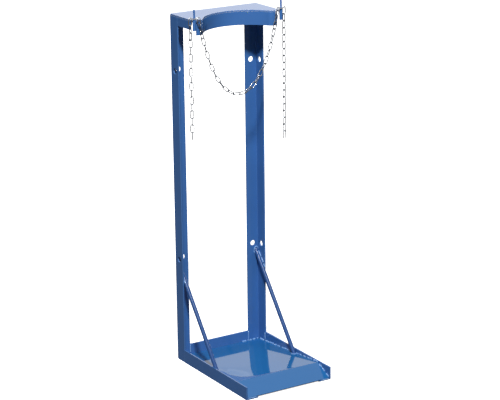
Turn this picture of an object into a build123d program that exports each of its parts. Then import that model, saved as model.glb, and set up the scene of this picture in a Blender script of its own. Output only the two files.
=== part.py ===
from build123d import *
from math import asin, atan, cos, degrees, pi, radians, sin, tan
import os

# Floor bracket for one gas cylinder: welded steel angle, tilted floor, curved top rest, safety chain.
# Millimetres, +X to its right, +Y to its back, +Z up; origin on the ground, mid width and mid depth.

# ---------------------------------------------------------------- driving sizes
frame_width = 280.0         # across the outer faces of the two uprights
frame_depth = 380.0         # back face to the front end of the side rails
frame_height = 1020.0       # ground to the top of the top plate
weld_gap = 0.1              # left between welded pieces

upright_flange = 40.0       # both legs of the upright's angle section
upright_wall = 4.0
upright_toe = 1.5           # rounding along the free edges of the section
anchor_hole = 16.0          # holes for fixing to a wall or bench
anchor_gauge = 21.0         # hole centre from the outside corner of the angle
anchor_low = 309.0          # height of the lower holes
anchor_high = 860.0         # height of the upper holes

rail_flange = 38.0          # both legs of the base rails' angle section
rail_wall = 4.0
rail_toe = 1.2
rail_nose_top = 10.0        # rounding at the side rails' front, upper corner
rail_nose_foot = 4.0        # rounding at the side rails' front, lower corner

floor_sheet = 3.0           # thickness of the floor
floor_edge_gap = 0.4        # sheet edge to the wall beside it, bridged by the weld
ridge_height = 34.8         # top of the floor where the ramp begins
ramp_angle = 25.8           # fall of the ramp, degrees
ridge_bend = 7.0            # outer radius of the bend

brace_rod = 12.0
brace_top = 285.0           # height of the rod's axis at the upright
brace_foot = 206.5          # back face to the rod's axis at the floor

top_wall = 5.0              # thickness of the top plate
top_depth = 128.0           # back face to the front edge of the top plate
top_corner = 2.5            # rounding of the plate's four outer corners
top_edge = 0.6              # chamfer round the plate's upper rim
rest_radius = 122.0         # curve that the cylinder leans into
rest_centre = 182.0         # back face to the centre of that curve
rest_lip = 16.0             # rounding where the curve meets the front edge
band_wall = 4.0             # strip under the plate, along the curve
band_height = 38.0
band_end_inset = 10.0       # strip end from the side of the plate
side_bar_wall = 5.0
side_bar_height = 24.0
side_bar_reach = 110.0      # back face to the front end of the side bars

peg_shoulder = 9.0          # thick lower part of each chain peg
peg_drop = 28.0             # shoulder below the top of the plate
peg_stand = 4.0             # shoulder above the top of the plate
peg_pin_height = 26.0
peg_pin_play = 1.5          # slack of a chain link across the pin
peg_tip = 0.8               # chamfer at the pin's tip
peg_side_inset = 0.5        # peg axis from the side of the plate

link_wire = 2.5
link_inner = 20.5           # inside length of one link
link_width = 12.0           # outside width of one link
link_play = 0.7             # gap between the wires of two links
link_bend_steps = 4         # straight steps round each end of a link
wire_sides = 6
seat_gap = 0.1              # peg link above the shoulder
swag_clearance = 1.4        # hanging chain to the face of the strip behind it
swag_links = 28             # the loop across the front, peg link to peg link
swag_lag = 19.4             # degrees short of a quarter turn at some links near the left end of the loop
swag_lag_links = 3
swag_end_links = 2          # links near its right end that take up the rest of the lag
left_tail_links = 17
left_tail_lag = 19.4
left_tail_lag_links = 3
right_tail_links = 19
right_tail_lag = 14.0
right_tail_lag_links = 1

# ---------------------------------------------------------------- places worked out from them
half_width = frame_width / 2
back = frame_depth / 2
front = -frame_depth / 2
plate_under = frame_height - top_wall
plate_front = back - top_depth
rail_start = back - upright_flange - weld_gap

ramp_foot = rail_wall + weld_gap + floor_sheet * cos(radians(ramp_angle))
ridge_y = front + (ridge_height - ramp_foot) / tan(radians(ramp_angle))
floor_back = back - rail_wall - floor_edge_gap
floor_low = rail_wall + weld_gap + floor_sheet
floor_slope = (ridge_height - floor_low) / (floor_back - ridge_y)
floor_width = frame_width - 2 * (rail_wall + floor_edge_gap)

brace_x = half_width - upright_wall - weld_gap - brace_rod / 2
brace_start = back - upright_wall - weld_gap
brace_end = back - brace_foot
brace_end_z = floor_low + floor_slope * (floor_back - brace_end)

peg_x = half_width - peg_side_inset
peg_y = plate_front - weld_gap - peg_shoulder / 2
peg_pin = link_width - 2 * link_wire - peg_pin_play

link_reach = (link_inner + link_wire) / 2       # link centre to the wire centre at its end
link_step = link_inner - link_play              # length of chain that one link takes up
wire_gap = (link_wire + link_play) / 2          # joint between two links to either wire centre
hook_z = frame_height + peg_stand + seat_gap + link_wire / 2
hook_offset = link_width / 2 + swag_clearance - weld_gap - peg_shoulder / 2
hook_yaw = asin(hook_offset / link_reach)
swag_x = peg_x - link_reach * cos(hook_yaw)
swag_y = peg_y - hook_offset
tail_x = peg_x + link_reach * cos(hook_yaw)
tail_y = peg_y + hook_offset
hang_z = hook_z + wire_gap


def angle_section(leg, wall, toe):
    """Equal angle in the first quadrant, its outside corner at the sketch's origin."""
    with BuildSketch(mode=Mode.PRIVATE) as section:
        Rectangle(leg, leg, align=Align.MIN)
        with Locations((wall, wall)):
            Rectangle(leg, leg, align=Align.MIN, mode=Mode.SUBTRACT)
        toes = [v for v in section.vertices() if {round(v.X, 3), round(v.Y, 3)} == {leg, wall}]
        fillet(toes, toe)
    return section.sketch


def rest_outline(setback):
    """Plan of the top plate with its whole front edge moved back by the setback."""
    with BuildSketch(mode=Mode.PRIVATE) as outline:
        with Locations((0, back)):
            Rectangle(frame_width, top_depth - setback, align=(Align.CENTER, Align.MAX))
        with Locations((0, back - rest_centre)):
            Circle(rest_radius + setback, mode=Mode.SUBTRACT)
        lips = outline.vertices().group_by(Axis.Y)[0].sort_by(Axis.X)[1:-1]
        fillet(lips, rest_lip - setback)
    return outline.sketch


def link_place(start, end, turn):
    """Location of a link between two chain joints, turned about its length from facing the back."""
    along = (end - start).normalized()
    across = along.cross(Vector(0, 1, 0))
    facing = Vector(0, 1, 0) * cos(radians(turn)) + across * sin(radians(turn))
    return Plane(origin=(start + end) / 2, x_dir=along, z_dir=facing).location


def link_turn(k, lag, lag_links):
    """Turn of the k-th link: a quarter from link to link, with a lag over a few after the second."""
    return 90 * k - lag * min(max(k - 1, 0), lag_links)


def loop_slopes(steepness):
    """Slope angle of every link in the loop hanging between the pegs."""
    return [atan(steepness * (k - (swag_links - 1) / 2)) for k in range(swag_links)]


def loop_span(steepness):
    """Distance between the ends of the hanging loop."""
    return sum(link_step * cos(slope) for slope in loop_slopes(steepness))


os.makedirs("parts", exist_ok=True)

# ---------------------------------------------------------------- uprights
for side, side_name in ((-1, "left"), (1, "right")):
    corner = Plane(origin=(side * half_width, back, 0), x_dir=(-side, 0, 0), z_dir=(0, 0, side))
    with BuildPart() as upright:
        with BuildSketch(corner):
            add(angle_section(upright_flange, upright_wall, upright_toe))
        extrude(amount=side * (plate_under - weld_gap))
        with BuildSketch(Plane.XZ.offset(-back)):
            with Locations(*[(side * (half_width - anchor_gauge), z) for z in (anchor_low, anchor_high)]):
                Circle(anchor_hole / 2)
        extrude(amount=upright_wall, mode=Mode.SUBTRACT)
        with BuildSketch(Plane.YZ.offset(side * half_width)):
            with Locations(*[(back - anchor_gauge, z) for z in (anchor_low, anchor_high)]):
                Circle(anchor_hole / 2)
        extrude(amount=-side * upright_wall, mode=Mode.SUBTRACT)
    upright.part.label = f"{side_name}_upright"
    export_step(upright.part, f"parts/{side_name}_upright.step")

# ---------------------------------------------------------------- base rails
for side, side_name in ((-1, "left"), (1, "right")):
    rail_end = Plane(origin=(side * half_width, rail_start, 0), x_dir=(-side, 0, 0), z_dir=(0, side, 0))
    with BuildPart() as side_rail:
        with BuildSketch(rail_end):
            add(angle_section(rail_flange, rail_wall, rail_toe))
        extrude(amount=side * (front - rail_start))
        with BuildSketch(Plane.YZ.offset(side * half_width)) as side_view:
            with Locations((front, 0)):
                Rectangle(rail_start - front, rail_flange, align=Align.MIN)
            nose = side_view.vertices().group_by(Axis.Y)[0].sort_by(Axis.Z)
            fillet(nose[0], rail_nose_foot)
            fillet(nose[1], rail_nose_top)
        extrude(amount=-side * rail_flange, mode=Mode.INTERSECT)
    side_rail.part.label = f"{side_name}_base_rail"
    export_step(side_rail.part, f"parts/{side_name}_base_rail.step")

back_rail_length = frame_width - 2 * (upright_flange + weld_gap)
with BuildPart() as back_rail:
    with BuildSketch(Plane(origin=(back_rail_length / 2, back, 0), x_dir=(0, -1, 0), z_dir=(-1, 0, 0))):
        add(angle_section(rail_flange, rail_wall, rail_toe))
    extrude(amount=back_rail_length)
back_rail.part.label = "back_base_rail"
export_step(back_rail.part, "parts/back_base_rail.step")

# ---------------------------------------------------------------- tilted floor with its ramp
with BuildPart() as floor_plate:
    with BuildSketch(Plane.YZ.offset(-floor_width / 2)):
        with BuildLine():
            ramp_top = (front, ramp_foot)
            ridge = (ridge_y, ridge_height)
            floor_end = (floor_back, floor_low)
            FilletPolyline(ramp_top, ridge, floor_end, radius=ridge_bend)
            offset(amount=floor_sheet, side=Side.RIGHT, closed=True)
        make_face()
    extrude(amount=floor_width)
floor_plate.part.label = "floor_plate"
export_step(floor_plate.part, "parts/floor_plate.step")

# ---------------------------------------------------------------- round braces
wall_face = Plane(origin=(0, brace_start, 0), x_dir=(1, 0, 0), z_dir=(0, -1, 0))
floor_face = Plane(origin=(0, floor_back, floor_low + weld_gap), x_dir=(1, 0, 0), z_dir=(0, floor_slope, 1))
for side, side_name in ((-1, "left"), (1, "right")):
    brace_head = Vector(side * brace_x, brace_start, brace_top)
    brace_run = Vector(side * brace_x, brace_end, brace_end_z) - brace_head
    with BuildPart() as brace:
        with BuildSketch(Plane(origin=brace_head, x_dir=(1, 0, 0), z_dir=brace_run)):
            Circle(brace_rod / 2)
        extrude(amount=brace_run.length + 2 * brace_rod)
        extrude(brace.faces().sort_by(Axis.Z)[-1], amount=2 * brace_rod)
        split(bisect_by=wall_face, keep=Keep.TOP)
        split(bisect_by=floor_face, keep=Keep.TOP)
    brace.part.label = f"{side_name}_brace"
    export_step(brace.part, f"parts/{side_name}_brace.step")

# ---------------------------------------------------------------- top plate, its strip and side bars
with BuildPart() as top_plate:
    with BuildSketch(Plane.XY.offset(plate_under)) as top_plan:
        add(rest_outline(0))
        outer_corners = [v for v in top_plan.vertices() if abs(v.X) > half_width - top_corner]
        fillet(outer_corners, top_corner)
    extrude(amount=top_wall)
    chamfer(top_plate.edges().group_by(Axis.Z)[-1], top_edge)
top_plate.part.label = "top_plate"
export_step(top_plate.part, "parts/top_plate.step")

with BuildPart() as front_band:
    with BuildSketch(Plane.XY.offset(plate_under - weld_gap)):
        add(rest_outline(0))
        add(rest_outline(band_wall), mode=Mode.SUBTRACT)
        with Locations((0, back)):
            Rectangle(frame_width - 2 * band_end_inset, 2 * top_depth, mode=Mode.INTERSECT)
    extrude(amount=-band_height)
front_band.part.label = "top_front_band"
export_step(front_band.part, "parts/top_front_band.step")

for side, side_name in ((-1, "left"), (1, "right")):
    with BuildPart() as side_bar:
        with BuildSketch(Plane.YZ.offset(side * half_width)):
            with Locations((back - side_bar_reach, plate_under - weld_gap)):
                bar_length = side_bar_reach - upright_flange - weld_gap
                Rectangle(bar_length, side_bar_height, align=(Align.MIN, Align.MAX))
        extrude(amount=-side * side_bar_wall)
    side_bar.part.label = f"{side_name}_top_bar"
    export_step(side_bar.part, f"parts/{side_name}_top_bar.step")

# ---------------------------------------------------------------- stepped pegs that hold the chain
for side, side_name in ((-1, "left"), (1, "right")):
    with BuildPart() as peg:
        with Locations((side * peg_x, peg_y, frame_height - peg_drop)):
            Cylinder(peg_shoulder / 2, peg_drop + peg_stand, align=(Align.CENTER, Align.CENTER, Align.MIN))
        with Locations((side * peg_x, peg_y, frame_height + peg_stand)):
            Cylinder(peg_pin / 2, peg_pin_height, align=(Align.CENTER, Align.CENTER, Align.MIN))
        chamfer(peg.edges().group_by(Axis.Z)[-1], peg_tip)
    peg.part.label = f"{side_name}_chain_peg"
    export_step(peg.part, f"parts/{side_name}_chain_peg.step")

# ---------------------------------------------------------------- one chain link, lying flat along X
bend_radius = (link_width - link_wire) / 2
bend_centre = link_reach - bend_radius
right_turn = [pi * step / link_bend_steps for step in range(link_bend_steps + 1)]
right_end = [(bend_centre + bend_radius * sin(a), bend_radius * cos(a)) for a in right_turn]
left_end = [(-x, -y) for x, y in right_end]
with BuildPart() as link:
    with BuildLine():
        Polyline((0, bend_radius), *right_end, *left_end, close=True)
    with BuildSketch(Plane(origin=(0, bend_radius, 0), x_dir=(0, 1, 0), z_dir=(1, 0, 0))):
        RegularPolygon(link_wire / 2, wire_sides)
    sweep(transition=Transition.RIGHT)

# ---------------------------------------------------------------- peg links, flat on the shoulders
for side, side_name in ((-1, "left"), (1, "right")):
    long_way = (side * cos(hook_yaw), sin(hook_yaw), 0)
    with BuildPart() as peg_link:
        with Locations(Plane(origin=(side * peg_x, peg_y, hook_z), x_dir=long_way, z_dir=(0, 0, 1)).location):
            add(link.part)
    peg_link.part.label = f"{side_name}_peg_link"
    export_step(peg_link.part, f"parts/{side_name}_peg_link.step")

# ---------------------------------------------------------------- loop of chain across the front
slack = 0.0
taut = 1.0
for _ in range(40):
    steepness = (slack + taut) / 2
    if loop_span(steepness) > 2 * swag_x:
        slack = steepness
    else:
        taut = steepness

loop_joints = [Vector(-swag_x, swag_y, hang_z)]
for slope in loop_slopes(steepness):
    loop_joints.append(loop_joints[-1] + Vector(cos(slope), 0, sin(slope)) * link_step)
end_lag = (90 - swag_lag * swag_lag_links) / swag_end_links
end_lag_start = swag_links - 3 - swag_end_links     # past these lags the last two links match the first two
loop_places = []
for k in range(swag_links):
    end_lags = min(max(k - end_lag_start, 0), swag_end_links)
    loop_turn = link_turn(k, swag_lag, swag_lag_links) - end_lag * end_lags
    loop_places.append(link_place(loop_joints[k], loop_joints[k + 1], loop_turn))

for place, side_name in ((loop_places[0], "left"), (loop_places[-1], "right")):
    with BuildPart() as hook_link:
        with Locations(place):
            add(link.part)
    hook_link.part.label = f"{side_name}_hook_link"
    export_step(hook_link.part, f"parts/{side_name}_hook_link.step")

with BuildPart() as chain_swag:
    with Locations(*loop_places[1:-1]):
        add(link.part)
chain_swag.part.label = "chain_swag"
export_step(chain_swag.part, "parts/chain_swag.step")

# ---------------------------------------------------------------- chain tails hanging beside the plate
left_tail = (-1, "left", left_tail_links, left_tail_lag, left_tail_lag_links)
right_tail = (1, "right", right_tail_links, right_tail_lag, right_tail_lag_links)
for side, side_name, count, lag, lag_links in (left_tail, right_tail):
    tail_places = []
    for k in range(count):
        tail_joint = Vector(side * tail_x, tail_y, hang_z - k * link_step)
        next_joint = tail_joint - Vector(0, 0, link_step)
        tail_places.append(link_place(tail_joint, next_joint, link_turn(k, lag, lag_links)))
    with BuildPart() as tail_top_link:
        with Locations(tail_places[0]):
            add(link.part)
    tail_top_link.part.label = f"{side_name}_tail_top_link"
    export_step(tail_top_link.part, f"parts/{side_name}_tail_top_link.step")
    with BuildPart() as tail_chain:
        with Locations(*tail_places[1:]):
            add(link.part)
    tail_chain.part.label = f"{side_name}_tail_chain"
    export_step(tail_chain.part, f"parts/{side_name}_tail_chain.step")
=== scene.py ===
"""A welded floor bracket for one gas cylinder: enamelled angle frame, weld beads, zinc chain and studio."""

import math
import random

import bmesh
import bpy
from mathutils import Matrix, Vector


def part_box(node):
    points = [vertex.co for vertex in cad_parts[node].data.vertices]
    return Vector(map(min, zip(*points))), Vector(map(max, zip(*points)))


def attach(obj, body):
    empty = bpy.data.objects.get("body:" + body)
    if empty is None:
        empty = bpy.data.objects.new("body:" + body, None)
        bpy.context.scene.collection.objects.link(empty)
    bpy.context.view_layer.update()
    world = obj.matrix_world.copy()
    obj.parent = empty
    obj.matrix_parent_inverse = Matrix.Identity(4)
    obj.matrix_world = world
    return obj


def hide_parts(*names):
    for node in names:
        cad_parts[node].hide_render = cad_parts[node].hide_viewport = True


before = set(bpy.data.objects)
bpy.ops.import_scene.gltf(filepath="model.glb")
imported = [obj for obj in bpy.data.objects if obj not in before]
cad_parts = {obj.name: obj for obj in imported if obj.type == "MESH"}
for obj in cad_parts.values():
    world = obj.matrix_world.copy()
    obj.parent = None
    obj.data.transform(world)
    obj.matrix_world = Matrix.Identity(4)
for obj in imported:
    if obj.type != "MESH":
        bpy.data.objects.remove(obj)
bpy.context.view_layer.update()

bl_info = {
    "name": "Gas Cylinder Bracket",
    "version": (1, 0, 0),
    "blender": (4, 5, 0),
    "location": "3D View > Sidebar > Bracket",
    "description": "Finishes a welded cylinder bracket: enamel, weld beads, chain and studio",
    "category": "Object",
}

MM = 0.001
FRAME_BODY = "bracket"
NEAREST_WALL = 1.0 * MM  # keeps the bow of the floor's crease finite beside the wall
CREASE_PULL = 3.0 * MM  # draws the crease towards the ridge, so that its far end meets the ridge
SHORTEST_CREASE = 0.5 * MM  # nearer to the ridge than this, the sheet has no dent
PAINTED_NODES = (
    "left_upright",
    "right_upright",
    "left_base_rail",
    "right_base_rail",
    "back_base_rail",
    "left_brace",
    "right_brace",
    "top_plate",
    "top_front_band",
    "left_top_bar",
    "right_top_bar",
    "left_chain_peg",
    "right_chain_peg",
)


# ------------------------------------------------------------------ sizes and colours a user would change


class BracketPaint(bpy.types.PropertyGroup):
    """Blue enamel on the welded steel."""

    colour: bpy.props.StringProperty(
        name="Enamel", description="Main colour, sRGB hex", default="#3E6FB0"
    )
    # painted shade: the floor sheet gets a darker copy of the enamel, to hold back the stronger light on its
    # bent front
    sheet_shade_colour: bpy.props.StringProperty(
        name="Floor enamel", description="Thinner coat on the floor sheet, sRGB hex", default="#1C609B"
    )
    # painted shade: the dent's zone, where the bent sheet turns the backdrop's reflection away, is coloured
    # in this
    dent_shade_colour: bpy.props.StringProperty(
        name="Dent enamel", description="Coat run thick in the floor's dent, sRGB hex", default="#2D5D99"
    )
    # painted shade: a darker line along the dent's crease, where the reflection turns
    crease_shade_colour: bpy.props.StringProperty(
        name="Crease enamel",
        description="Thickest coat along the dent's crease, sRGB hex",
        default="#23457C",
    )
    dent_length: bpy.props.FloatProperty(
        name="Dent length",
        description="Reach of the floor's dent behind the ridge",
        default=125.0 * MM,
        subtype="DISTANCE",
    )
    dent_bow: bpy.props.FloatProperty(
        name="Dent bow",
        description="Distance of the crease's bow from the corner",
        default=35.0 * MM,
        subtype="DISTANCE",
    )
    dent_wall_gap: bpy.props.FloatProperty(
        name="Dent to wall",
        description="Strip beside the wall that the weld holds up",
        default=8.0 * MM,
        subtype="DISTANCE",
    )
    dent_depth_most: bpy.props.FloatProperty(
        name="Dent depth", description="Greatest depth of the dent", default=3.0 * MM, subtype="DISTANCE"
    )
    dent_run_out: bpy.props.FloatProperty(
        name="Dent run-out",
        description="Distance behind the crease where the sheet is flat again",
        default=110.0 * MM,
        subtype="DISTANCE",
    )
    deep_colour: bpy.props.StringProperty(
        name="Thick enamel", description="Where the coat is thickest, sRGB hex", default="#37629E"
    )
    # paler edge colour: partly the thinner coat on sharp edges, partly a painted highlight
    edge_thin_coat_and_highlight_colour: bpy.props.StringProperty(
        name="Thin enamel", description="Where the coat is thin on sharp edges, sRGB hex", default="#7FA6D0"
    )
    # painted highlight: the near-white line along the top plate's rim
    rim_highlight_colour: bpy.props.StringProperty(
        name="Rim enamel",
        description="Thinnest coat, along the top plate's rim, sRGB hex",
        default="#EEF3FA",
    )
    # painted shade: the brace rods get a darker copy of the enamel
    rod_shade_colour: bpy.props.StringProperty(
        name="Rod enamel", description="Thick coat round the braces, sRGB hex", default="#2A4D84"
    )
    # painted highlight: the weld beads get a lighter copy of the enamel
    weld_highlight_colour: bpy.props.StringProperty(
        name="Enamel on welds", description="Enamel over a rough bead, sRGB hex", default="#86AEDA"
    )
    edge_round: bpy.props.FloatProperty(
        name="Edge rounding",
        description="Rounding of the steel's edges",
        default=0.6 * MM,
        subtype="DISTANCE",
    )
    peel_size: bpy.props.FloatProperty(
        name="Orange peel",
        description="Width of one ripple in the coat",
        default=4.0 * MM,
        subtype="DISTANCE",
    )


class BracketWelds(bpy.types.PropertyGroup):
    """Fillet welds between the pieces of the frame."""

    bead_width: bpy.props.FloatProperty(
        name="Bead width", description="Width of a fillet weld", default=5.0 * MM, subtype="DISTANCE"
    )
    ripple: bpy.props.FloatProperty(
        name="Ripple",
        description="Distance from one ripple to the next",
        default=2.4 * MM,
        subtype="DISTANCE",
    )
    stitch: bpy.props.FloatProperty(
        name="Stitch",
        description="Length of one run of weld on the floor's edges",
        default=17.0 * MM,
        subtype="DISTANCE",
    )
    stitch_gap: bpy.props.FloatProperty(
        name="Stitch gap", description="Gap between two runs", default=8.0 * MM, subtype="DISTANCE"
    )


class BracketChain(bpy.types.PropertyGroup):
    """Long-link chain of zinc-plated wire."""

    wire: bpy.props.FloatProperty(
        name="Wire", description="Diameter of the wire", default=2.5 * MM, subtype="DISTANCE"
    )
    inner_length: bpy.props.FloatProperty(
        name="Inner length", description="Inside length of a link", default=20.5 * MM, subtype="DISTANCE"
    )
    outer_width: bpy.props.FloatProperty(
        name="Outer width", description="Outside width of a link", default=12.0 * MM, subtype="DISTANCE"
    )
    play: bpy.props.FloatProperty(
        name="Play", description="Gap between the wires of two links", default=0.7 * MM, subtype="DISTANCE"
    )
    loop_links: bpy.props.IntProperty(
        name="Loop links", description="Links in the loop across the front", default=28, min=4
    )
    lag: bpy.props.FloatProperty(
        name="Lag",
        description="Loop and left tail: how far some links fall short of a quarter turn",
        default=math.radians(19.4),
        subtype="ANGLE",
    )
    lag_links: bpy.props.IntProperty(name="Lagging links", description="How many links lag", default=3, min=0)
    left_tail_links: bpy.props.IntProperty(
        name="Left tail links", description="Links in the left tail", default=17, min=2
    )
    right_tail_links: bpy.props.IntProperty(
        name="Right tail links", description="Links in the right tail", default=19, min=2
    )
    right_lag: bpy.props.FloatProperty(
        name="Right lag",
        description="Right tail: how far its third link falls short of a quarter turn",
        default=math.radians(14.0),
        subtype="ANGLE",
    )
    zinc: bpy.props.StringProperty(
        name="Zinc", description="Bright zinc plating, sRGB hex", default="#A6AAAF"
    )
    # painted highlight: a lighter zinc for the single links at the pegs, hooks and tails' tops
    highlit_zinc: bpy.props.StringProperty(
        name="Rubbed zinc",
        description="Plating rubbed bright on the links at the pegs, sRGB hex",
        default="#F0F1F2",
    )
    dull_zinc: bpy.props.StringProperty(
        name="Dull zinc", description="Handled zinc plating, sRGB hex", default="#5C6269"
    )


class BracketStage(bpy.types.PropertyGroup):
    """Studio floor, lamps and camera."""

    azimuth: bpy.props.FloatProperty(
        name="Azimuth",
        description="Camera's turn about the bracket",
        default=math.radians(-31.715),
        subtype="ANGLE",
    )
    elevation: bpy.props.FloatProperty(
        name="Elevation",
        description="Camera's height above the horizon",
        default=math.radians(16.505),
        subtype="ANGLE",
    )
    roll: bpy.props.FloatProperty(
        name="Roll", description="Camera's lean", default=math.radians(-0.664), subtype="ANGLE"
    )
    distance: bpy.props.FloatProperty(
        name="Distance",
        description="Camera to the point that it looks at",
        default=5.165,
        subtype="DISTANCE",
    )
    aim: bpy.props.FloatVectorProperty(
        name="Aim",
        description="Point that the camera looks at",
        default=(-0.0042, 0.0, 0.5063),
        subtype="XYZ",
    )
    focal_length: bpy.props.FloatProperty(
        name="Focal length", description="Lens for a 36 mm wide picture", default=133.1, min=10.0
    )
    backdrop: bpy.props.StringProperty(
        name="Backdrop", description="Studio floor, sRGB hex", default="#F4F5F6"
    )


# ------------------------------------------------------------------ small tools


def linear(code):
    """sRGB hex to the linear colour that a shader works in."""
    channels = [int(code.lstrip("#")[i : i + 2], 16) / 255 for i in (0, 2, 4)]
    return (*[c / 12.92 if c <= 0.04045 else ((c + 0.055) / 1.055) ** 2.4 for c in channels], 1.0)


def add_node(tree, kind, settings=None, inputs=None):
    """Add one node with its settings; each input is a value or the socket that feeds it."""
    node = tree.nodes.new(kind)
    for name, value in (settings or {}).items():
        setattr(node, name, value)
    for name, value in (inputs or {}).items():
        if isinstance(value, bpy.types.NodeSocket):
            tree.links.new(value, node.inputs[name])
        else:
            node.inputs[name].default_value = value
    return node


def new_material(name):
    """An empty node material and its shader."""
    material = bpy.data.materials.get(name) or bpy.data.materials.new(name)
    material.use_nodes = True
    tree = material.node_tree
    tree.nodes.clear()
    shader = add_node(tree, "ShaderNodeBsdfPrincipled")
    add_node(tree, "ShaderNodeOutputMaterial", inputs={"Surface": shader.outputs["BSDF"]})
    return material, tree, shader


def dress(piece, material):
    """Give a piece one material."""
    piece.data.materials.clear()
    piece.data.materials.append(material)


def smooth(mesh, angle):
    """Shade a mesh smooth, with its real corners kept."""
    mesh.shade_smooth()
    mesh.set_sharp_from_angle(angle=math.radians(angle))


def maths(tree, operation, *values):
    """The result of one maths node."""
    return add_node(tree, "ShaderNodeMath", {"operation": operation}, dict(enumerate(values))).outputs[0]


def ramp(tree, value, start, end, low=0.0, high=1.0, step="LINEAR"):
    """A value taken from one range to another, and held at its ends."""
    sizes = {"Value": value, "From Min": start, "From Max": end, "To Min": low, "To Max": high}
    return add_node(tree, "ShaderNodeMapRange", {"interpolation_type": step}, sizes).outputs["Result"]


def mixed(tree, share, first, second):
    """A share of the way from the first colour to the second."""
    return add_node(tree, "ShaderNodeMix", {"data_type": "RGBA"}, {0: share, 6: first, 7: second}).outputs[2]


def noise(tree, place, size, detail):
    """Cloudy noise with patches of that size."""
    inputs = {"Vector": place, "Scale": 1 / size, "Detail": detail}
    return add_node(tree, "ShaderNodeTexNoise", inputs=inputs).outputs[0]


def object_place(tree):
    """Where a point lies on its own object."""
    return add_node(tree, "ShaderNodeTexCoord").outputs["Object"]


# ------------------------------------------------------------------ materials


def coat_surface(tree, shader, colour, roughness, height, strength, depth):
    """Feed the shader its colour and its roughness, and a relief of that strength and depth."""
    inputs = {"Strength": strength, "Distance": depth, "Height": height}
    relief = add_node(tree, "ShaderNodeBump", inputs=inputs)
    tree.links.new(colour, shader.inputs["Base Color"])
    tree.links.new(roughness, shader.inputs["Roughness"])
    tree.links.new(relief.outputs["Normal"], shader.inputs["Normal"])


def enamel(name, main, deep, edge, peel_size, roughness, peel_height, edge_reach=1.6 * MM, edge_share=0.75):
    """Stoved blue enamel: a clear gloss over a faint orange peel, with a paler line on the edges that stands
    partly for the thinner coat there and partly for a painted highlight.
    """
    cloud_size, speck_size = 110 * MM, 2 * MM
    flat_from, edge_from = 0.985, 0.80  # cosines between the edge's rounded normal and the face's own
    peel_strength = 0.35
    dullest = 1.6
    material, tree, shader = new_material(name)
    place = object_place(tree)
    cloud = noise(tree, place, cloud_size, 3.0)
    peel = noise(tree, place, peel_size, 1.0)
    specks = noise(tree, place, speck_size, 2.0)
    rounded = add_node(tree, "ShaderNodeBevel", {"samples": 4}, {"Radius": edge_reach})
    flat = add_node(tree, "ShaderNodeNewGeometry")
    normals = {0: rounded.outputs["Normal"], 1: flat.outputs["True Normal"]}
    bend = add_node(tree, "ShaderNodeVectorMath", {"operation": "DOT_PRODUCT"}, normals)
    thin_coat_and_highlight = ramp(tree, bend.outputs["Value"], flat_from, edge_from, 0.0, edge_share)
    coat = mixed(tree, cloud, linear(main), linear(deep))
    # paler edges: partly the thinner coat there, partly a painted highlight
    colour = mixed(tree, maths(tree, "MULTIPLY", thin_coat_and_highlight, specks), coat, linear(edge))
    gloss = ramp(tree, cloud, 0.3, 0.7, roughness, roughness * dullest)
    coat_surface(tree, shader, colour, gloss, peel, peel_strength, peel_height)
    shader.inputs["IOR"].default_value = 1.52
    return material


def zinc_plate(name, bright, dull):
    """Bright zinc plating on drawn steel wire: a soft silvery metal, greyer where it has been handled."""
    cloud_size, grain_size = 7 * MM, 0.7 * MM
    least_rough, most_rough = 0.07, 0.14
    grain_strength, grain_depth = 0.2, 0.05 * MM
    material, tree, shader = new_material(name)
    place = object_place(tree)
    cloud = noise(tree, place, cloud_size, 3.0)
    grain = noise(tree, place, grain_size, 2.0)
    colour = mixed(tree, cloud, linear(bright), linear(dull))
    gloss = ramp(tree, cloud, 0.3, 0.7, least_rough, most_rough)
    coat_surface(tree, shader, colour, gloss, grain, grain_strength, grain_depth)
    shader.inputs["Metallic"].default_value = 1.0
    return material


def paint_of(scene):
    """The enamel on the frame, made once."""
    look = scene.bracket_paint
    name = "blue_stoved_enamel"
    shades = look.colour, look.deep_colour, look.edge_thin_coat_and_highlight_colour
    return bpy.data.materials.get(name) or enamel(
        name, *shades, look.peel_size, roughness=0.07, peel_height=0.05 * MM
    )


def rim_paint_of(scene):
    """The enamel on the top plate, with a painted highlight along its rim, made once."""
    look = scene.bracket_paint
    name = "blue_enamel_rim_highlight"
    shades = look.colour, look.deep_colour, look.rim_highlight_colour
    # painted highlight: the rim's pale line is widened and pushed almost to white
    edge = {"edge_reach": 2.6 * MM, "edge_share": 1.8}
    return bpy.data.materials.get(name) or enamel(
        name, *shades, look.peel_size, roughness=0.07, peel_height=0.05 * MM, **edge
    )


def brace_paint_of(scene):
    """The duller enamel on the brace rods, painted darker as shade, made once."""
    look = scene.bracket_paint
    name = "blue_enamel_on_rod"
    if name not in bpy.data.materials:
        # painted shade: the rods' darker copy of the enamel
        shades = look.rod_shade_colour, look.rod_shade_colour, look.edge_thin_coat_and_highlight_colour
        rod = enamel(name, *shades, look.peel_size, roughness=0.16, peel_height=0.05 * MM)
        rod.node_tree.nodes["Principled BSDF"].inputs["Specular IOR Level"].default_value = 0.12
    return bpy.data.materials[name]


def weld_paint_of(scene):
    """The same enamel over rough weld metal, painted lighter as highlight, made once."""
    look = scene.bracket_paint
    name = "blue_enamel_on_weld"
    shades = look.weld_highlight_colour, look.colour, look.edge_thin_coat_and_highlight_colour
    return bpy.data.materials.get(name) or enamel(
        name, *shades, peel_size=1.5 * MM, roughness=0.14, peel_height=0.12 * MM
    )


# ------------------------------------------------------------------ geometry node trees


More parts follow.
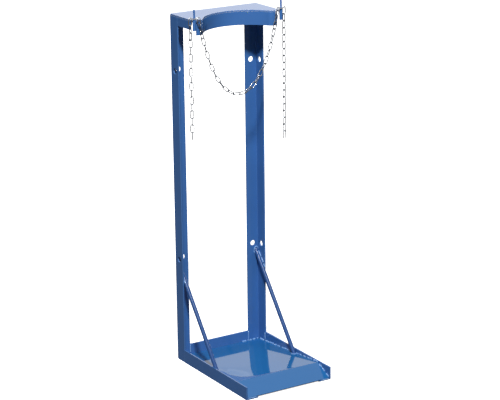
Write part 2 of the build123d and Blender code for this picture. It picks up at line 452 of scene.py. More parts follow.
def node_group(name, sizes):
    """An empty geometry tree with its named inputs; returns the tree and the inputs' identifiers."""
    group = bpy.data.node_groups.new(name, "GeometryNodeTree")
    group.interface.new_socket("Geometry", in_out="INPUT", socket_type="NodeSocketGeometry")
    group.interface.new_socket("Geometry", in_out="OUTPUT", socket_type="NodeSocketGeometry")
    keys = {}
    for label, kind in sizes.items():
        keys[label] = group.interface.new_socket(label, in_out="INPUT", socket_type=kind).identifier
    return group, keys


def solved(shape, group, keys, values, name, body):
    """Run a geometry tree on a shape and keep the result as a plain mesh that rides on a body."""
    modifier = shape.modifiers.new(group.name, "NODES")
    modifier.node_group = group
    for label, value in values.items():
        modifier[keys[label]] = value
    bpy.context.view_layer.update()
    evaluated = shape.evaluated_get(bpy.context.evaluated_depsgraph_get())
    mesh = bpy.data.meshes.new_from_object(evaluated)
    mesh.name = name
    shape.modifiers.remove(modifier)
    bpy.data.objects.remove(shape)
    piece = bpy.data.objects.new(name, mesh)
    bpy.context.scene.collection.objects.link(piece)
    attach(piece, body)
    return piece


def tube_along(group, path, radius, sides, caps):
    """A round tube of that radius along a path."""
    sized = add_node(group, "GeometryNodeSetCurveRadius", inputs={"Curve": path, "Radius": radius})
    ring = add_node(group, "GeometryNodeCurvePrimitiveCircle", inputs={"Resolution": sides, "Radius": 1.0})
    width = add_node(group, "GeometryNodeInputRadius").outputs[0]
    curves = {"Curve": sized.outputs[0], "Profile Curve": ring.outputs["Curve"]}
    inputs = {**curves, "Scale": width, "Fill Caps": caps}
    return add_node(group, "GeometryNodeCurveToMesh", inputs=inputs).outputs[0]


def hand_out(group, shape, material):
    """Make every copy real, give it its material and hand it out of the tree."""
    realized = add_node(group, "GeometryNodeRealizeInstances", inputs={"Geometry": shape})
    inputs = {"Geometry": realized.outputs[0], "Material": material}
    coated = add_node(group, "GeometryNodeSetMaterial", inputs=inputs)
    add_node(group, "NodeGroupOutput", inputs={"Geometry": coated.outputs[0]})


def bead_group():
    """Weld beads: a rippled, slightly uneven tube along each curve, thinner at its two ends."""
    sizes = {
        "Bead Width": "NodeSocketFloat",
        "Ripple": "NodeSocketFloat",
        "Unevenness": "NodeSocketFloat",
        "Seed": "NodeSocketFloat",
        "Material": "NodeSocketMaterial",
    }
    points_per_ripple = 3.0
    ripple_height = 0.09
    lump_size = 9 * MM
    end_share, end_width = 0.06, 0.45
    group, keys = node_group("Weld Beads", sizes)
    given = add_node(group, "NodeGroupInput").outputs
    step = maths(group, "DIVIDE", given["Ripple"], points_per_ripple)
    inputs = {"Curve": given["Geometry"], "Length": step}
    path = add_node(group, "GeometryNodeResampleCurve", {"mode": "LENGTH"}, inputs)
    along = add_node(group, "GeometryNodeSplineParameter").outputs
    turns = maths(group, "DIVIDE", along["Length"], given["Ripple"])
    wave = maths(group, "SINE", maths(group, "MULTIPLY", turns, 2 * math.pi))
    wave_share = maths(group, "MULTIPLY_ADD", wave, ripple_height, 1.0)
    place = add_node(group, "GeometryNodeInputPosition").outputs[0]
    inputs = {"Vector": place, "W": given["Seed"], "Scale": 1 / lump_size}
    lumps = add_node(group, "ShaderNodeTexNoise", {"noise_dimensions": "4D"}, inputs)
    lump_share = maths(group, "SUBTRACT", lumps.outputs[0], 0.5)
    uneven = maths(group, "MULTIPLY_ADD", lump_share, given["Unevenness"], wave_share)
    to_end = maths(group, "PINGPONG", along["Factor"], 0.5)
    taper = ramp(group, to_end, 0.0, end_share, end_width, 1.0, "SMOOTHSTEP")
    radius = maths(group, "MULTIPLY", uneven, taper)
    half = maths(group, "MULTIPLY", given["Bead Width"], 0.5)
    tube = tube_along(group, path.outputs[0], maths(group, "MULTIPLY", radius, half), sides=8, caps=True)
    hand_out(group, tube, given["Material"])
    return group, keys


def link_group():
    """Chain links: one stadium of welded wire on every point, turned by the point's own directions."""
    sizes = {
        "Wire": "NodeSocketFloat",
        "Centre Length": "NodeSocketFloat",
        "Centre Width": "NodeSocketFloat",
        "Weld Swell": "NodeSocketFloat",
        "Material": "NodeSocketMaterial",
    }
    nearly_half = 0.499
    swell_end, swell_start = 0.6 * MM, 2.0 * MM
    group, keys = node_group("Chain Links", sizes)
    given = add_node(group, "NodeGroupInput").outputs
    inputs = {"Width": given["Centre Length"], "Height": given["Centre Width"]}
    oblong = add_node(group, "GeometryNodeCurvePrimitiveQuadrilateral", inputs=inputs)
    bend = maths(group, "MULTIPLY", given["Centre Width"], nearly_half)
    inputs = {"Curve": oblong.outputs["Curve"], "Count": 12, "Radius": bend}
    stadium = add_node(group, "GeometryNodeFilletCurve", {"mode": "POLY"}, inputs)
    inputs = {"Curve": stadium.outputs[0], "Count": 44}
    path = add_node(group, "GeometryNodeResampleCurve", {"mode": "COUNT"}, inputs)
    place = add_node(group, "GeometryNodeInputPosition").outputs[0]
    spot = add_node(group, "ShaderNodeSeparateXYZ", inputs={0: place}).outputs
    from_middle = maths(group, "ABSOLUTE", spot["X"])
    near = ramp(group, from_middle, swell_end, swell_start, 1.0, 0.0, "SMOOTHSTEP")
    here = maths(group, "MULTIPLY", near, maths(group, "GREATER_THAN", spot["Y"], 0.0))
    swell = maths(group, "MULTIPLY_ADD", here, given["Weld Swell"], 1.0)
    half = maths(group, "MULTIPLY", given["Wire"], 0.5)
    wire = tube_along(group, path.outputs[0], maths(group, "MULTIPLY", swell, half), sides=12, caps=False)
    along, facing = (
        add_node(group, "GeometryNodeInputNamedAttribute", {"data_type": "FLOAT_VECTOR"}, {"Name": label})
        for label in ("along", "facing")
    )
    turn = add_node(
        group,
        "FunctionNodeAxesToRotation",
        {"primary_axis": "X", "secondary_axis": "Z"},
        {"Primary Axis": along.outputs[0], "Secondary Axis": facing.outputs[0]},
    )
    inputs = {"Points": given["Geometry"], "Instance": wire, "Rotation": turn.outputs[0]}
    copies = add_node(group, "GeometryNodeInstanceOnPoints", inputs=inputs)
    hand_out(group, copies.outputs[0], given["Material"])
    return group, keys


# ------------------------------------------------------------------ the frame's own lines


def side_of(name):
    """-1 for a left piece and +1 for a right one."""
    return -1 if name == "left" else 1


def wall_x(name):
    """Inner face of the side walls at the floor."""
    rail_wall = 4.0 * MM
    low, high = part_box(f"{name}_base_rail")
    return low.x + rail_wall if name == "left" else high.x - rail_wall


def floor_line():
    """Back end, ridge and front end of the floor's upper surface, as (y, z)."""
    low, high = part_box("floor_plate")
    vertices = [v.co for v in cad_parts["floor_plate"].data.vertices]
    ridge = max(vertices, key=lambda v: v.z)
    front = max((v for v in vertices if v.y < low.y + 1 * MM), key=lambda v: v.z)
    rear = max((v for v in vertices if v.y > high.y - 1 * MM), key=lambda v: v.z)
    return (rear.y, rear.z), (ridge.y, ridge.z), (front.y, front.z)


def floor_height(y):
    """Height of the floor's upper surface at a place along its depth."""
    rear, ridge, front = floor_line()
    start, end = (rear, ridge) if y > ridge[0] else (ridge, front)
    share = (y - start[0]) / (end[0] - start[0])
    return start[1] + share * (end[1] - start[1])


def brace_line(name):
    """Upper and lower end of a brace's axis."""
    low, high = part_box(f"{name}_brace")
    radius = (high.x - low.x) / 2
    x = (low.x + high.x) / 2
    vertices = [v.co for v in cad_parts[f"{name}_brace"].data.vertices]
    head = [v for v in vertices if v.y > high.y - 0.05 * MM]
    foot = [v for v in vertices if v.z < floor_height(v.y) + 0.5 * MM]
    top = Vector((x, high.y, (max(v.z for v in head) + min(v.z for v in head)) / 2))
    bottom = Vector((x, (max(v.y for v in foot) + min(v.y for v in foot)) / 2, 0))
    bottom.z = floor_height(bottom.y)
    return top, bottom, radius


def eased(share):
    """A soft step from 0 to 1."""
    share = min(max(share, 0.0), 1.0)
    return share * share * (3 - 2 * share)


def dent_depth(look, x, behind):
    """How far the sheet has sunk behind the ridge, where a bowed crease runs to it from the left wall."""
    low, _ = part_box("floor_plate")
    inside = max(x - low.x - look.dent_wall_gap, NEAREST_WALL)
    crease = min(look.dent_bow**2 / inside - CREASE_PULL, look.dent_length)
    if behind <= 0 or crease < SHORTEST_CREASE:
        return 0.0
    off_wall = eased((x - low.x) / (2 * look.dent_wall_gap))
    depth = look.dent_depth_most * min(crease / look.dent_bow, 1) * off_wall
    if behind < crease:
        return depth * behind / crease
    return depth * (1 - eased((behind - crease) / look.dent_run_out))


def dented_sheet(look):
    """The bent floor sheet with the shallow dent that welding has drawn into its left front corner."""
    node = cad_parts["floor_plate"]
    mesh = node.data.copy()
    mesh.name = "welded_floor_sheet"
    low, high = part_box("floor_plate")
    _, ridge, _ = floor_line()
    cut_step = 4 * MM
    cut_reach = 1.6 * look.dent_length
    cuts = bmesh.new()
    cuts.from_mesh(mesh)
    for axis, start, end in ((0, low.x, high.x), (1, ridge[0], ridge[0] + cut_reach)):
        count = int((end - start) / cut_step)
        for k in range(1, count):
            place = Vector((0, 0, 0))
            place[axis] = start + (end - start) * k / count
            normal = Vector((0, 0, 0))
            normal[axis] = 1
            everything = cuts.verts[:] + cuts.edges[:] + cuts.faces[:]
            bmesh.ops.bisect_plane(cuts, geom=everything, plane_co=place, plane_no=normal)
    bmesh.ops.remove_doubles(cuts, verts=cuts.verts[:], dist=0.01 * MM)
    _, foot, radius = brace_line("left")
    for vertex in cuts.verts:
        x, y, _ = vertex.co
        off_foot = math.hypot(x - foot.x, y - foot.y) - 2 * radius
        vertex.co.z -= dent_depth(look, x, y - ridge[0]) * eased(off_foot / (5 * radius))
    cuts.to_mesh(mesh)
    cuts.free()
    mesh.normals_split_custom_set([(0, 0, 0)] * len(mesh.loops))
    smooth(mesh, 30.0)
    sheet = bpy.data.objects.new("welded_floor_sheet", mesh)
    bpy.context.scene.collection.objects.link(sheet)
    return sheet


def dull_and_shade_in_dent(material, look):
    """The coat made dull from the dent's crease to the ridge, with painted shade over that zone and a darker
    painted shade line along the crease.
    """
    dull_roughness = 0.5
    clear_shine, dull_shine = 0.5, 0.12
    line_width = 7.0 * MM
    tree = material.node_tree
    shader = tree.nodes["Principled BSDF"]
    low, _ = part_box("floor_plate")
    _, ridge, _ = floor_line()
    place = add_node(tree, "ShaderNodeSeparateXYZ", inputs={0: object_place(tree)}).outputs
    off_wall = maths(tree, "SUBTRACT", place["X"], low.x + look.dent_wall_gap)
    inside = maths(tree, "MAXIMUM", off_wall, NEAREST_WALL)
    bow = maths(tree, "SUBTRACT", maths(tree, "DIVIDE", look.dent_bow**2, inside), CREASE_PULL)
    crease = maths(tree, "MINIMUM", bow, look.dent_length)
    behind = maths(tree, "SUBTRACT", place["Y"], ridge[0])
    before = maths(tree, "SUBTRACT", crease, behind)
    dull = maths(tree, "MULTIPLY", ramp(tree, before, -0.5 * MM, 1.5 * MM), ramp(tree, behind, 0.0, 2.0 * MM))
    # painted shade: a darker line along the crease
    crease_shade_line = maths(tree, "MULTIPLY", dull, ramp(tree, before, line_width, 1.0 * MM))
    # painted shade over the dent's zone, which is also made duller in roughness and shine
    coat = mixed(tree, dull, shader.inputs["Base Color"].links[0].from_socket, linear(look.dent_shade_colour))
    coat = mixed(tree, crease_shade_line, coat, linear(look.crease_shade_colour))
    gloss = {0: dull, 2: shader.inputs["Roughness"].links[0].from_socket, 3: dull_roughness}
    rough = add_node(tree, "ShaderNodeMix", {"data_type": "FLOAT"}, gloss).outputs[0]
    shine = ramp(tree, dull, 0.0, 1.0, clear_shine, dull_shine)
    tree.links.new(coat, shader.inputs["Base Color"])
    tree.links.new(rough, shader.inputs["Roughness"])
    tree.links.new(shine, shader.inputs["Specular IOR Level"])
    return material


# ------------------------------------------------------------------ weld runs


def stitched(start, end, stitch, gap, seed):
    """Hand-laid runs of weld from start to end, uneven in length, in spacing and in line."""
    point_step = 4 * MM
    most_across, most_down, most_up = 1.0, 0.3, 0.9
    chance = random.Random(seed)
    length = (end - start).length
    along = (end - start) / length
    place = chance.uniform(0, gap)
    runs = []
    while place < length:
        stop = min(place + stitch * chance.uniform(0.35, 1.6), length)
        steps = max(2, int((stop - place) / point_step))
        run = []
        for k in range(steps + 1):
            across = chance.uniform(-most_across, most_across)
            wander = Vector((across, 0, chance.uniform(-most_down, most_up))) * MM
            run.append(start + along * (place + (stop - place) * k / steps) + wander)
        runs.append(run)
        place = stop + gap * chance.uniform(0.2, 1.8)
    return runs


def ring_round(centre, along, normal, radius, steps=28):
    """Where a round bar of that radius meets a plane: an ellipse about the bar's axis."""
    across = normal.cross(along).normalized()
    lift = along.cross(across).normalized()
    points = []
    for k in range(steps + 1):
        angle = 2 * math.pi * k / steps
        spot = across * math.cos(angle) * radius + lift * math.sin(angle) * radius
        shift = along * (-spot.dot(normal) / along.dot(normal))
        points.append(centre + spot + shift)
    return points


def upright_run(x, y, start, end):
    """A straight run of weld up or down at one place."""
    return [Vector((x, y, start)), Vector((x, y, end))]


def run_curve(name, runs):
    """A curve object with one straight-sided spline for each run of weld."""
    curve = bpy.data.curves.new(name, "CURVE")
    curve.dimensions = "3D"
    for run in runs:
        spline = curve.splines.new("POLY")
        spline.points.add(len(run) - 1)
        for point, place in zip(spline.points, run):
            point.co = (*place, 1.0)
    shape = bpy.data.objects.new(name, curve)
    bpy.context.scene.collection.objects.link(shape)
    return shape


def weld(scene, name, runs, width_share=1.0, unevenness=0.5, seed=1.0):
    """Lay weld beads along runs of points and keep them as one painted piece."""
    sizes = scene.bracket_welds
    group, keys = bead_group()
    values = {
        "Bead Width": sizes.bead_width * width_share,
        "Ripple": sizes.ripple,
        "Unevenness": unevenness,
        "Seed": seed,
        "Material": weld_paint_of(scene),
    }
    piece = solved(run_curve(name, runs), group, keys, values, name, FRAME_BODY)
    smooth(piece.data, 60.0)
    return piece


# ------------------------------------------------------------------ chain places


def loop_angles(links, steepness):
    """Slope angle of each link in a loop of equal links that hangs from its two ends."""
    return [math.atan(steepness * (k - (links - 1) / 2)) for k in range(links)]


def steepness_for(links, step, span):
    """Steepness at which the hanging loop spans the distance between its ends."""
    slack, taut = 0.0, 1.0
    for _ in range(40):
        middle = (slack + taut) / 2
        if sum(step * math.cos(a) for a in loop_angles(links, middle)) > span:
            slack = middle
        else:
            taut = middle
    return (slack + taut) / 2


def link_turns(count, lag, lag_links):
    """Turn of each link: a quarter from one to the next, with a lag over a few after the second."""
    return [math.radians(90) * k - lag * min(max(k - 1, 0), lag_links) for k in range(count)]


def link_places(joints, turns):
    """Centre, long direction and facing direction of the link between each two joints."""
    places = []
    back = Vector((0, 1, 0))
    for k, turn in enumerate(turns):
        along = (joints[k + 1] - joints[k]).normalized()
        facing = back * math.cos(turn) + along.cross(back) * math.sin(turn)
        places.append(((joints[k] + joints[k + 1]) / 2, along, facing))
    return places


def chain_piece(scene, name, places, nodes, body):
    """Put a wire link at each place and keep them as one piece that stands for those CAD nodes."""
    sizes = scene.bracket_chain
    mesh = bpy.data.meshes.new(name)
    mesh.from_pydata([centre for centre, _, _ in places], [], [])
    for label, index in (("along", 1), ("facing", 2)):
        layer = mesh.attributes.new(label, "FLOAT_VECTOR", "POINT")
        for k, place in enumerate(places):
            layer.data[k].vector = place[index]
    shape = bpy.data.objects.new(name, mesh)
    bpy.context.scene.collection.objects.link(shape)
    group, keys = link_group()
    coat, shades = "zinc_plated_wire", (sizes.zinc, sizes.dull_zinc)
    # painted highlight: a single link (peg, hook or tail's top link) gets a lighter copy of the zinc
    if len(places) == 1:
        coat, shades = "highlit_zinc_wire", (sizes.highlit_zinc, sizes.zinc)
    material = bpy.data.materials.get(coat) or zinc_plate(coat, *shades)
    values = {
        "Wire": sizes.wire,
        "Centre Length": sizes.inner_length + sizes.wire,
        "Centre Width": sizes.outer_width - sizes.wire,
        "Weld Swell": 0.12,
        "Material": material,
    }
    piece = solved(shape, group, keys, values, name, body)
    smooth(piece.data, 60.0)
    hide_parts(*nodes)
    return piece


def peg_link_ends(name):
    """Centre of a peg link, and the wire centres at its inner and outer end."""
    low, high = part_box(f"{name}_peg_link")
    centre = (low + high) / 2
    sizes = bpy.context.scene.bracket_chain
    reach = (sizes.inner_length + sizes.wire) / 2
    swag_low, swag_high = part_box("chain_swag")
    forward = centre.y - (swag_low.y + swag_high.y) / 2
    sideways = math.sqrt(reach**2 - forward**2)
    outer = centre + Vector((side_of(name) * sideways, forward, 0))
    inner = centre - Vector((side_of(name) * sideways, forward, 0))
    return centre, inner, outer


# ------------------------------------------------------------------ studio


def softbox(name, place, target, width, height, power):
    """One rectangular lamp that faces the bracket."""
    lamp = bpy.data.lights.new(name, "AREA")
    lamp.shape = "RECTANGLE"
    lamp.size = width
    lamp.size_y = height
    lamp.energy = power
    shell = bpy.data.objects.new(name, lamp)
    bpy.context.scene.collection.objects.link(shell)
    shell.location = place
    shell.rotation_euler = (Vector(target) - Vector(place)).to_track_quat("-Z", "Y").to_euler()


def studio_floor(look):
    """A plain pale floor that keeps the bracket's soft shadow."""
    reach = 20.0
    shade_end, light_start, shade_light = 0.4, 2.2, 0.78
    unseen_grey = (0.12, 0.12, 0.12, 1.0)
    mesh = bpy.data.meshes.new("studio_floor")
    corners = [(-reach, -reach, 0), (reach, -reach, 0), (reach, reach, 0), (-reach, reach, 0)]
    mesh.from_pydata(corners, [], [(0, 1, 2, 3)])
    floor = bpy.data.objects.new("studio_floor", mesh)
    bpy.context.scene.collection.objects.link(floor)
    material, tree, shader = new_material("matt_backdrop_paper")
    shader.inputs["Roughness"].default_value = 0.9
    shader.inputs["Specular IOR Level"].default_value = 0.1
    seen = add_node(tree, "ShaderNodeLightPath").outputs["Is Camera Ray"]
    away = add_node(tree, "ShaderNodeVectorMath", {"operation": "LENGTH"}, {0: object_place(tree)})
    bright = ramp(tree, away.outputs["Value"], shade_end, light_start, shade_light, 1.0)
    pale = mixed(tree, seen, unseen_grey, linear(look.backdrop))
    tree.links.new(pale, shader.inputs["Base Color"])
    shader.inputs["Emission Color"].default_value = (1, 1, 1, 1)
    tree.links.new(maths(tree, "MULTIPLY", seen, bright), shader.inputs["Emission Strength"])
    dress(floor, material)


def studio_world(scene):
    """White to the eye and in reflections, and a softer grey as light."""
    light_strength = 0.07
    world = bpy.data.worlds.new("studio_world")
    world.use_nodes = True
    tree = world.node_tree
    tree.nodes.clear()
    path = add_node(tree, "ShaderNodeLightPath").outputs
    seen = maths(tree, "MAXIMUM", path["Is Camera Ray"], path["Is Glossy Ray"])
    through = maths(tree, "MAXIMUM", seen, path["Is Transmission Ray"])
    strength = ramp(tree, through, 0.0, 1.0, light_strength, 1.0)
    background = add_node(tree, "ShaderNodeBackground", inputs={"Color": (1, 1, 1, 1), "Strength": strength})
    add_node(tree, "ShaderNodeOutputWorld", inputs={"Surface": background.outputs[0]})
    scene.world = world


# ------------------------------------------------------------------ operators


class BRACKET_OT_frame(bpy.types.Operator):
    """Round and enamel the welded steel pieces"""

    bl_idname = "bracket.frame"
    bl_label = "Enamelled Frame"

    def execute(self, context):
        material = paint_of(context.scene)
        rods = brace_paint_of(context.scene)
        special = {"top_plate": rim_paint_of(context.scene), "left_brace": rods, "right_brace": rods}
        for name in PAINTED_NODES:
            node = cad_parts[name]
            dress(node, special.get(name, material))
            merge = node.modifiers.new("Merge", "WELD")
            merge.merge_threshold = 0.01 * MM
            flatten = node.modifiers.new("Flatten", "DECIMATE")
            flatten.decimate_type = "DISSOLVE"
            flatten.angle_limit = math.radians(0.5)
            bevel = node.modifiers.new("Round", "BEVEL")
            bevel.width = context.scene.bracket_paint.edge_round
            bevel.segments = 2
            bevel.limit_method = "ANGLE"
            bevel.angle_limit = math.radians(50)
            node.modifiers.new("Shade", "WEIGHTED_NORMAL").keep_sharp = True
            node.data.shade_smooth()
        return {"FINISHED"}


class BRACKET_OT_floor(bpy.types.Operator):
    """Dent and enamel the bent floor sheet"""

    bl_idname = "bracket.floor"
    bl_label = "Floor Sheet"

    def execute(self, context):
        look = context.scene.bracket_paint
        sheet = dented_sheet(look)
        # painted shade: the sheet is coated in the darker copy of the enamel
        shades = look.sheet_shade_colour, look.sheet_shade_colour, look.colour
        coat = enamel("blue_enamel_sheet", *shades, peel_size=30 * MM, roughness=0.04, peel_height=0.03 * MM)
        dress(sheet, dull_and_shade_in_dent(coat, look))
        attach(sheet, FRAME_BODY)
        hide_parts("floor_plate")
        return {"FINISHED"}


class BRACKET_OT_floor_welds(bpy.types.Operator):
    """Weld the floor sheet to the rails, along its sides, at its front corners and at the back"""

    bl_idname = "bracket.floor_welds"
    bl_label = "Floor Welds"

    def execute(self, context):
        scene = context.scene
        sizes = scene.bracket_welds
        rear, ridge, front = floor_line()
        off_wall, end_gap = 0.6 * MM, 4 * MM
        foot_length, back_length = 26 * MM, 60 * MM
        runs = []
        for name in ("left", "right"):
            side = side_of(name)
            x = wall_x(name) - side * off_wall
            back_end = Vector((x, rear[0] - end_gap, rear[1] + 0.4 * MM))
            bend = Vector((x, ridge[0], ridge[1] + 0.2 * MM))
            front_end = Vector((x, front[0] + end_gap, front[1] + 1.2 * MM))
            runs += stitched(back_end, bend, sizes.stitch, sizes.stitch_gap, seed=4 + side)
            front_start = bend + (front_end - bend) * 0.1
            runs += stitched(front_start, front_end, sizes.stitch, sizes.stitch_gap, seed=9)
            foot = Vector((x - side * 2 * MM, front[0] + 1.5 * MM, front[1] - 3.2 * MM))
            runs.append([foot, foot - Vector((side * foot_length, 0, 0.2 * MM))])
        corner = Vector((wall_x("right") - 2 * MM, rear[0] - 1 * MM, rear[1] + 0.6 * MM))
        back_start = corner - Vector((back_length, 0, 0))
        runs += stitched(back_start, corner, 0.5 * sizes.stitch, 0.5 * sizes.stitch_gap, seed=2)
        weld(scene, "floor_weld_beads", runs, unevenness=1.5, seed=3.0)
        return {"FINISHED"}


class BRACKET_OT_brace_welds(bpy.types.Operator):
    """Weld the round braces to the uprights and the floor"""

    bl_idname = "bracket.brace_welds"
    bl_label = "Brace Welds"

    def execute(self, context):
        collar = 0.8 * MM
        sunk = 1.1 * MM
        seam_start = 3 * MM
        runs = []
        rear, ridge, _ = floor_line()
        slope = (ridge[1] - rear[1]) / (rear[0] - ridge[0])
        floor_normal = Vector((0, slope, 1)).normalized()
        for name in ("left", "right"):
            top, bottom, radius = brace_line(name)
            along = (bottom - top).normalized()
            runs.append(ring_round(bottom, along, floor_normal, radius + collar))
            runs.append(ring_round(top, along, Vector((0, 1, 0)), radius + collar))
            upright_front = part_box(f"{name}_upright")[0].y
            across = Vector((side_of(name), 0, 0))
            lift = across.cross(along) * side_of(name) * -1
            reach = (top.y - upright_front) / -along.y
            for share, seed in ((0.72, 6), (-0.72, 8)):
                seam = top + lift * radius * share + across * (radius - sunk)
                start, end = seam + along * seam_start, seam + along * reach
                runs += stitched(start, end, stitch=15 * MM, gap=1.5 * MM, seed=seed)
        weld(context.scene, "brace_weld_beads", runs, width_share=0.8, unevenness=0.7, seed=5.0)
        return {"FINISHED"}


class BRACKET_OT_frame_welds(bpy.types.Operator):
    """Weld the uprights, rails, top plate, side bars and pegs together"""

    bl_idname = "bracket.frame_welds"
    bl_label = "Frame Welds"

    def execute(self, context):
        wall = 4.0 * MM
        off_face = 0.6 * MM
        bar_gap = 3 * MM
        runs = []
        plate_low, plate_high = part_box("top_plate")
        under = plate_low.z - 0.4 * MM
        rear, _, _ = floor_line()
        for name in ("left", "right"):
            side = side_of(name)
            low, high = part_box(f"{name}_upright")
            inner = (low.x + wall) if name == "left" else (high.x - wall)
            back_inner = high.y - wall
            toe_x = high.x if name == "left" else low.x
            corner = Vector((inner - side * 1 * MM, back_inner - 1 * MM, under))
            runs.append([Vector((toe_x, back_inner - off_face, under)), corner])
            runs.append([corner, Vector((inner - side * off_face, low.y, under))])
            bar_low, bar_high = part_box(f"{name}_top_bar")
            bar_x = (bar_high.x if name == "left" else bar_low.x) - side * off_face
            bar_start = Vector((bar_x, bar_high.y - bar_gap, under))
            runs.append([bar_start, Vector((bar_x, bar_low.y + bar_gap, under))])
            runs.append(upright_run(inner - side * 1.2 * MM, low.y, bar_high.z - bar_gap, bar_low.z + 2 * MM))
            rail_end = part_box(f"{name}_base_rail")[1].z - 2 * MM
            runs.append(upright_run(inner - side * 0.3 * MM, low.y, floor_height(low.y) + 3 * MM, rail_end))
            back_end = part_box("back_base_rail")[1].z - 2 * MM
            runs.append(upright_run(toe_x, back_inner - 0.3 * MM, rear[1] + 4 * MM, back_end))
            peg_low, peg_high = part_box(f"{name}_chain_peg")
            for offset in (-3.2 * MM, 3.2 * MM):
                spot = (peg_low.x + peg_high.x) / 2 + offset, plate_low.y - off_face
                runs.append(upright_run(*spot, plate_high.z - 0.8 * MM, plate_low.z - 0.2 * MM))
        weld(context.scene, "frame_weld_beads", runs, width_share=0.7, unevenness=0.5, seed=7.0)
        return {"FINISHED"}


class BRACKET_OT_loop(bpy.types.Operator):
    """Hang the chain loop between the two pegs"""

    bl_idname = "bracket.loop"
    bl_label = "Chain Loop"

    def execute(self, context):
        scene = context.scene
        sizes = scene.bracket_chain
        step = sizes.inner_length - sizes.play
        lift = Vector((0, 0, (sizes.wire + sizes.play) / 2))
        start = peg_link_ends("left")[1] + lift
        end = peg_link_ends("right")[1] + lift
        steepness = steepness_for(sizes.loop_links, step, (end - start).length)
        joints = [start]
        for angle in loop_angles(sizes.loop_links, steepness):
            joints.append(joints[-1] + Vector((math.cos(angle), 0, math.sin(angle))) * step)
        turns = link_turns(sizes.loop_links, sizes.lag, sizes.lag_links)
        last_links, shares = 5, 2
        rest = (math.radians(90) - sizes.lag * sizes.lag_links) / shares
        for k in range(len(turns)):
            turns[k] -= rest * min(max(k - sizes.loop_links + last_links, 0), shares)
        places = link_places(joints, turns)
        chain_piece(scene, "left_hook_wire", places[:1], ["left_hook_link"], FRAME_BODY)
        chain_piece(scene, "right_hook_wire", places[-1:], ["right_hook_link"], FRAME_BODY)
        chain_piece(scene, "loop_chain_wire", places[1:-1], ["chain_swag"], "loop")
        return {"FINISHED"}


class BRACKET_OT_tails(bpy.types.Operator):
    """Lay the peg links round the pins and hang the two chain tails"""

    bl_idname = "bracket.tails"
    bl_label = "Chain Tails"

    def execute(self, context):
        scene = context.scene
        sizes = scene.bracket_chain
        step = sizes.inner_length - sizes.play
        left = ("left", sizes.left_tail_links, sizes.lag, sizes.lag_links)
        right = ("right", sizes.right_tail_links, sizes.right_lag, 1)
        for name, count, lag, lag_links in (left, right):
            centre, inner, outer = peg_link_ends(name)
            flat = [(centre, (outer - inner).normalized(), Vector((0, 0, 1)))]
            chain_piece(scene, f"{name}_peg_wire", flat, [f"{name}_peg_link"], FRAME_BODY)
            hang = outer + Vector((0, 0, (sizes.wire + sizes.play) / 2))
            joints = [hang - Vector((0, 0, step * k)) for k in range(count + 1)]
            places = link_places(joints, link_turns(count, lag, lag_links))
            top_nodes, tail_nodes = [f"{name}_tail_top_link"], [f"{name}_tail_chain"]
            chain_piece(scene, f"{name}_tail_top_wire", places[:1], top_nodes, f"{name}_tail_link")
            chain_piece(scene, f"{name}_tail_wire", places[1:], tail_nodes, f"{name}_tail")
        return {"FINISHED"}


class BRACKET_OT_stage(bpy.types.Operator):
    """Set the studio floor, lamps, background and camera"""

    bl_idname = "bracket.stage"
    bl_label = "Studio"

    def execute(self, context):
        scene = context.scene
        look = scene.bracket_stage
        studio_floor(look)
        studio_world(scene)
        softbox("key_softbox", (-2.17, -3.56, 5.79), (0, 0, 0.8), width=0.6, height=0.6, power=620.0)
        softbox("rear_softbox", (2.6, 4.4, 2.6), (0, 0, 0.8), width=4.5, height=2.0, power=8.0)
        softbox("back_softbox", (0.6, 5.2, 1.5), (0, 0, 0.5), width=1.8, height=1.8, power=110.0)
        softbox("side_softbox", (4.6, 1.8, 1.0), (0, 0, 0.4), width=1.0, height=2.0, power=38.0)
        camera_data = bpy.data.cameras.new("studio_camera")
        camera_data.lens = look.focal_length
        camera_data.sensor_width = 36.0
        camera = bpy.data.objects.new("studio_camera", camera_data)
        scene.collection.objects.link(camera)
        back = Vector(
            (
                math.sin(look.azimuth) * math.cos(look.elevation),
                -math.cos(look.azimuth) * math.cos(look.elevation),
                math.sin(look.elevation),
            )
        )
        right = Vector((0, 0, 1)).cross(back).normalized()
        up = back.cross(right)
        tilt = math.cos(look.roll), math.sin(look.roll)
        leaning_right = right * tilt[0] + up * tilt[1]
        leaning_up = up * tilt[0] - right * tilt[1]
        turn = Matrix((leaning_right, leaning_up, back)).transposed().to_4x4()
        camera.matrix_world = Matrix.Translation(Vector(look.aim) + back * look.distance) @ turn
        scene.camera = camera
        scene.view_settings.view_transform = "Standard"
        return {"FINISHED"}


# ------------------------------------------------------------------ panel and registration


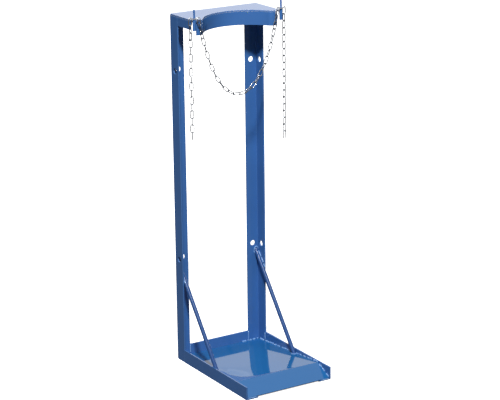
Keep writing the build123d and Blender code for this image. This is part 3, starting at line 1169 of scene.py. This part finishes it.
class BRACKET_PT_panel(bpy.types.Panel):
    """Pieces of the cylinder bracket, with their sizes and colours"""

    bl_idname = "BRACKET_PT_panel"
    bl_label = "Cylinder Bracket"
    bl_space_type = "VIEW_3D"
    bl_region_type = "UI"
    bl_category = "Bracket"

    def draw(self, context):
        layout = self.layout
        for title, group in GROUPS.items():
            box = layout.box()
            box.label(text=title)
            settings = getattr(context.scene, group)
            for name in settings.__annotations__:
                box.prop(settings, name)
        for operator in OPERATORS:
            layout.operator(operator.bl_idname)


GROUPS = {
    "Enamel": "bracket_paint",
    "Welds": "bracket_welds",
    "Chain": "bracket_chain",
    "Studio": "bracket_stage",
}
SETTINGS = {
    "bracket_paint": BracketPaint,
    "bracket_welds": BracketWelds,
    "bracket_chain": BracketChain,
    "bracket_stage": BracketStage,
}
OPERATORS = (
    BRACKET_OT_frame,
    BRACKET_OT_floor,
    BRACKET_OT_floor_welds,
    BRACKET_OT_brace_welds,
    BRACKET_OT_frame_welds,
    BRACKET_OT_loop,
    BRACKET_OT_tails,
    BRACKET_OT_stage,
)


def register():
    """Make the settings, operators and panel known to Blender."""
    for name, settings in SETTINGS.items():
        bpy.utils.register_class(settings)
        setattr(bpy.types.Scene, name, bpy.props.PointerProperty(type=settings))
    for operator in OPERATORS:
        bpy.utils.register_class(operator)
    bpy.utils.register_class(BRACKET_PT_panel)


def unregister():
    """Take the panel, operators and settings away again."""
    bpy.utils.unregister_class(BRACKET_PT_panel)
    for operator in reversed(OPERATORS):
        bpy.utils.unregister_class(operator)
    for name, settings in SETTINGS.items():
        delattr(bpy.types.Scene, name)
        bpy.utils.unregister_class(settings)


def main():
    """Build every piece in order."""
    register()
    bpy.ops.bracket.frame()
    bpy.ops.bracket.floor()
    bpy.ops.bracket.floor_welds()
    bpy.ops.bracket.brace_welds()
    bpy.ops.bracket.frame_welds()
    bpy.ops.bracket.loop()
    bpy.ops.bracket.tails()
    bpy.ops.bracket.stage()
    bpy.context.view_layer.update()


if __name__ == "__main__":
    main()
